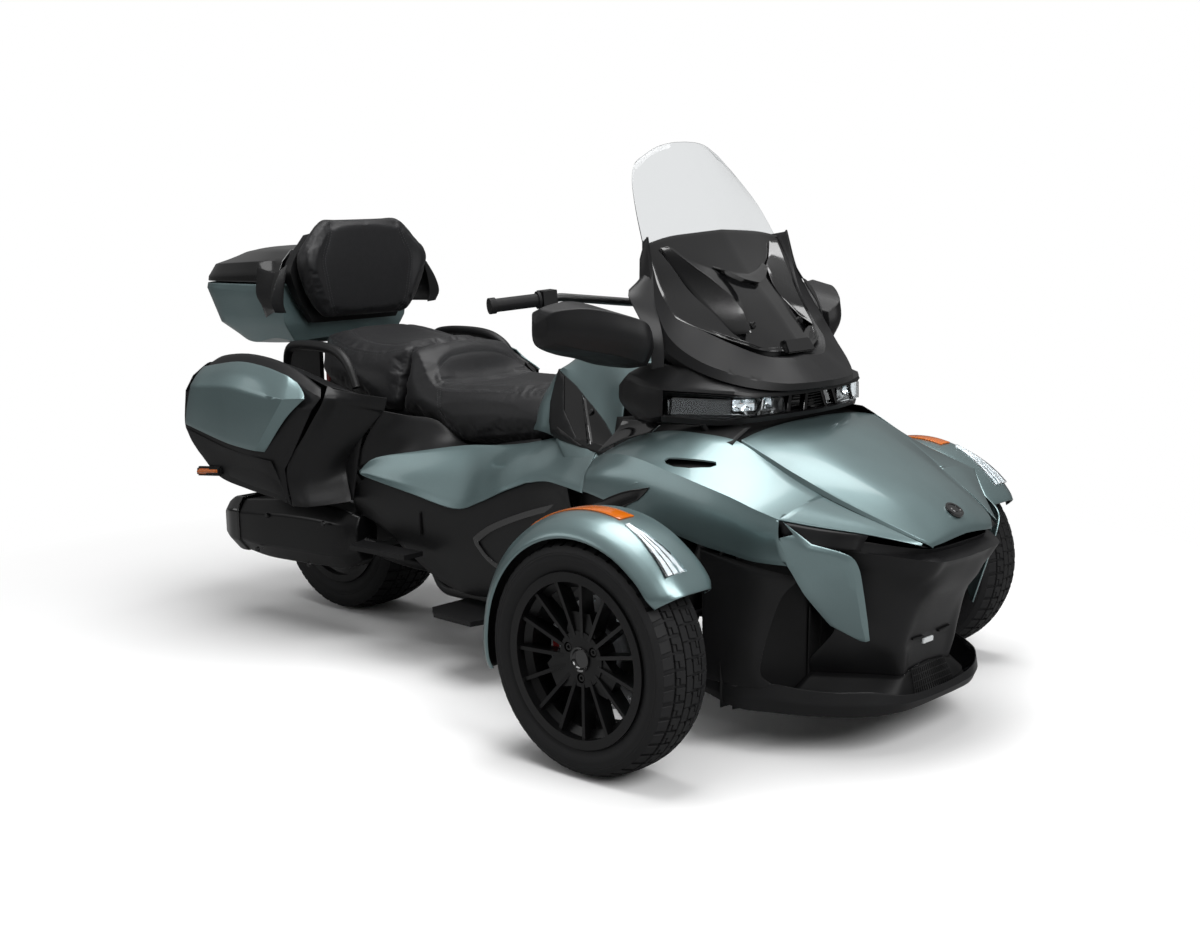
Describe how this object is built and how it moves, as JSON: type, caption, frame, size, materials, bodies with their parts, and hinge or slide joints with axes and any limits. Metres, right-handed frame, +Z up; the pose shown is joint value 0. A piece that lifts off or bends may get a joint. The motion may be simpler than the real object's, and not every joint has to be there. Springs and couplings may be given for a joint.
{
  "type": "reverse trike",
  "caption": "Three-wheeled touring motorcycle with steered front wheels on wishbones, a single driven rear wheel, a windshield, opening luggage lids and a passenger backrest.",
  "frame": {"origin": "on the ground under the centre of the whole vehicle", "axes": "+X forward, +Y to the rider's left, +Z up"},
  "size_m": [2.8333, 1.552, 1.464],
  "materials": {
    "body_paint": "satin metallic grey-teal paint",
    "charcoal_plastic": "satin moulded-in charcoal, fine grain",
    "gloss_black": "polished black panels",
    "black_plastic": "grained black plastic",
    "seat_leather": "black seat cover with grey stitching",
    "clear_screen": "clear hard-coated polycarbonate",
    "smoke_screen": "smoked screen base",
    "lamp_lens": "clear lamp lenses",
    "tail_lens": "red lens",
    "mirror_glass": "silvered glass",
    "tyre_rubber": "road tyre",
    "wheel_black": "cast wheel, satin black",
    "disc_steel": "brake disc",
    "frame_steel": "black powder-coated tube",
    "engine_metal": "cast engine cases",
    "muffler_metal": "dark coated muffler",
    "grip_rubber": "soft black grips"
  },
  "bodies": {
    "chassis": {"backrest_pad": "seat_leather", "backrest_shell": "gloss_black", "brake_pedal": "frame_steel", "bumper_sides": "charcoal_plastic", "centre_grille": "gloss_black", "chin_splitter": "charcoal_plastic", "console": "body_paint", "console_trims": "gloss_black", "control_arms": "frame_steel", "dashboard": "black_plastic", "engine_block": "engine_metal", "exhaust": "muffler_metal", "footboards": "black_plastic", "frame": "frame_steel", "grab_handles": "black_plastic", "headlights": "lamp_lens", "lamp_housing": "gloss_black", "lower_covers": "black_plastic", "mirror_glasses": "mirror_glass", "mirror_pods": "charcoal_plastic", "nose_fascia": "charcoal_plastic", "panel_stays": "frame_steel", "pannier_shells": "charcoal_plastic", "passenger_seat": "seat_leather", "rider_seat": "seat_leather", "shocks": "frame_steel", "side_fairings": "body_paint", "side_panels": "body_paint", "swingarm": "frame_steel", "tail_fascia": "black_plastic", "tail_lights": "tail_lens", "topcase_shell": "body_paint", "trunk_tub": "black_plastic", "upper_cowl": "charcoal_plastic", "windshield": "clear_screen", "windshield_panel": "smoke_screen"},
    "trunk_lid": {"trunk_lid": "body_paint"},
    "pannier_lid_left": {"pannier_lid_left": "body_paint"},
    "pannier_lid_right": {"pannier_lid_right": "body_paint"},
    "topcase_lid": {"topcase_lid": "gloss_black"},
    "handlebar": {"handlebar": "frame_steel", "grips": "grip_rubber", "switch_pods": "black_plastic"},
    "tie_rods": {"tie_rods": "frame_steel"},
    "knuckle_left": {"knuckle_left": "frame_steel", "front_fender_left": "body_paint", "fender_lamp_left": "lamp_lens"},
    "knuckle_right": {"knuckle_right": "frame_steel", "front_fender_right": "body_paint", "fender_lamp_right": "lamp_lens"},
    "front_wheel_left": {"front_tyre_left": "tyre_rubber", "front_rim_left": "wheel_black", "brake_disc_left": "disc_steel"},
    "front_wheel_right": {"front_tyre_right": "tyre_rubber", "front_rim_right": "wheel_black", "brake_disc_right": "disc_steel"},
    "rear_wheel": {"rear_tyre": "tyre_rubber", "rear_rim": "wheel_black", "rear_drive": "disc_steel"}
  },
  "joints": [
    {"name": "handlebar_steer", "type": "hinge", "parent": "chassis", "child": "handlebar", "pos_m": [0.47, 0, 0.98], "axis": [-0.3987, 0, 0.9171], "range_deg": [-24, 24]},
    {"name": "knuckle_left_steer", "type": "hinge", "parent": "chassis", "child": "knuckle_left", "pos_m": [0.842, 0.628, 0.281], "axis": [0, 0, 1], "range_deg": [-24, 24]},
    {"name": "knuckle_right_steer", "type": "hinge", "parent": "chassis", "child": "knuckle_right", "pos_m": [0.842, -0.628, 0.281], "axis": [0, 0, 1], "range_deg": [-24, 24]},
    {"name": "rack_slide", "type": "slide", "parent": "chassis", "child": "tie_rods", "axis": [0, 1, 0], "range_m": [-0.038, 0.038]},
    {"name": "front_wheel_left_spin", "type": "hinge", "parent": "knuckle_left", "child": "front_wheel_left", "pos_m": [0.842, 0.693, 0.281], "axis": [0, 1, 0], "continuous": true},
    {"name": "front_wheel_right_spin", "type": "hinge", "parent": "knuckle_right", "child": "front_wheel_right", "pos_m": [0.842, -0.693, 0.281], "axis": [0, 1, 0], "continuous": true},
    {"name": "rear_wheel_spin", "type": "hinge", "parent": "chassis", "child": "rear_wheel", "pos_m": [-0.872, 0, 0.303], "axis": [0, 1, 0], "continuous": true},
    {"name": "trunk_lid_hinge", "type": "hinge", "parent": "chassis", "child": "trunk_lid", "pos_m": [0.975, 0, 0.73], "axis": [0, -1, 0], "range_deg": [0, 55]},
    {"name": "topcase_lid_hinge", "type": "hinge", "parent": "chassis", "child": "topcase_lid", "pos_m": [-0.902, 0, 1.187], "axis": [0, 1, 0], "range_deg": [0, 60]},
    {"name": "pannier_lid_left_hinge", "type": "hinge", "parent": "chassis", "child": "pannier_lid_left", "pos_m": [-0.69, 0.418, 0.42], "axis": [-0.9762, 0, 0.2169], "range_deg": [0, 50]},
    {"name": "pannier_lid_right_hinge", "type": "hinge", "parent": "chassis", "child": "pannier_lid_right", "pos_m": [-0.69, -0.418, 0.42], "axis": [0.9762, 0, -0.2169], "range_deg": [0, 50]}
  ],
  "couplings": [
    {"joint": "knuckle_left_steer", "follows": "handlebar_steer", "ratio": 1},
    {"joint": "knuckle_right_steer", "follows": "handlebar_steer", "ratio": 1},
    {"joint": "rack_slide", "follows": "handlebar_steer", "m_per_rad": 0.09}
  ]
}
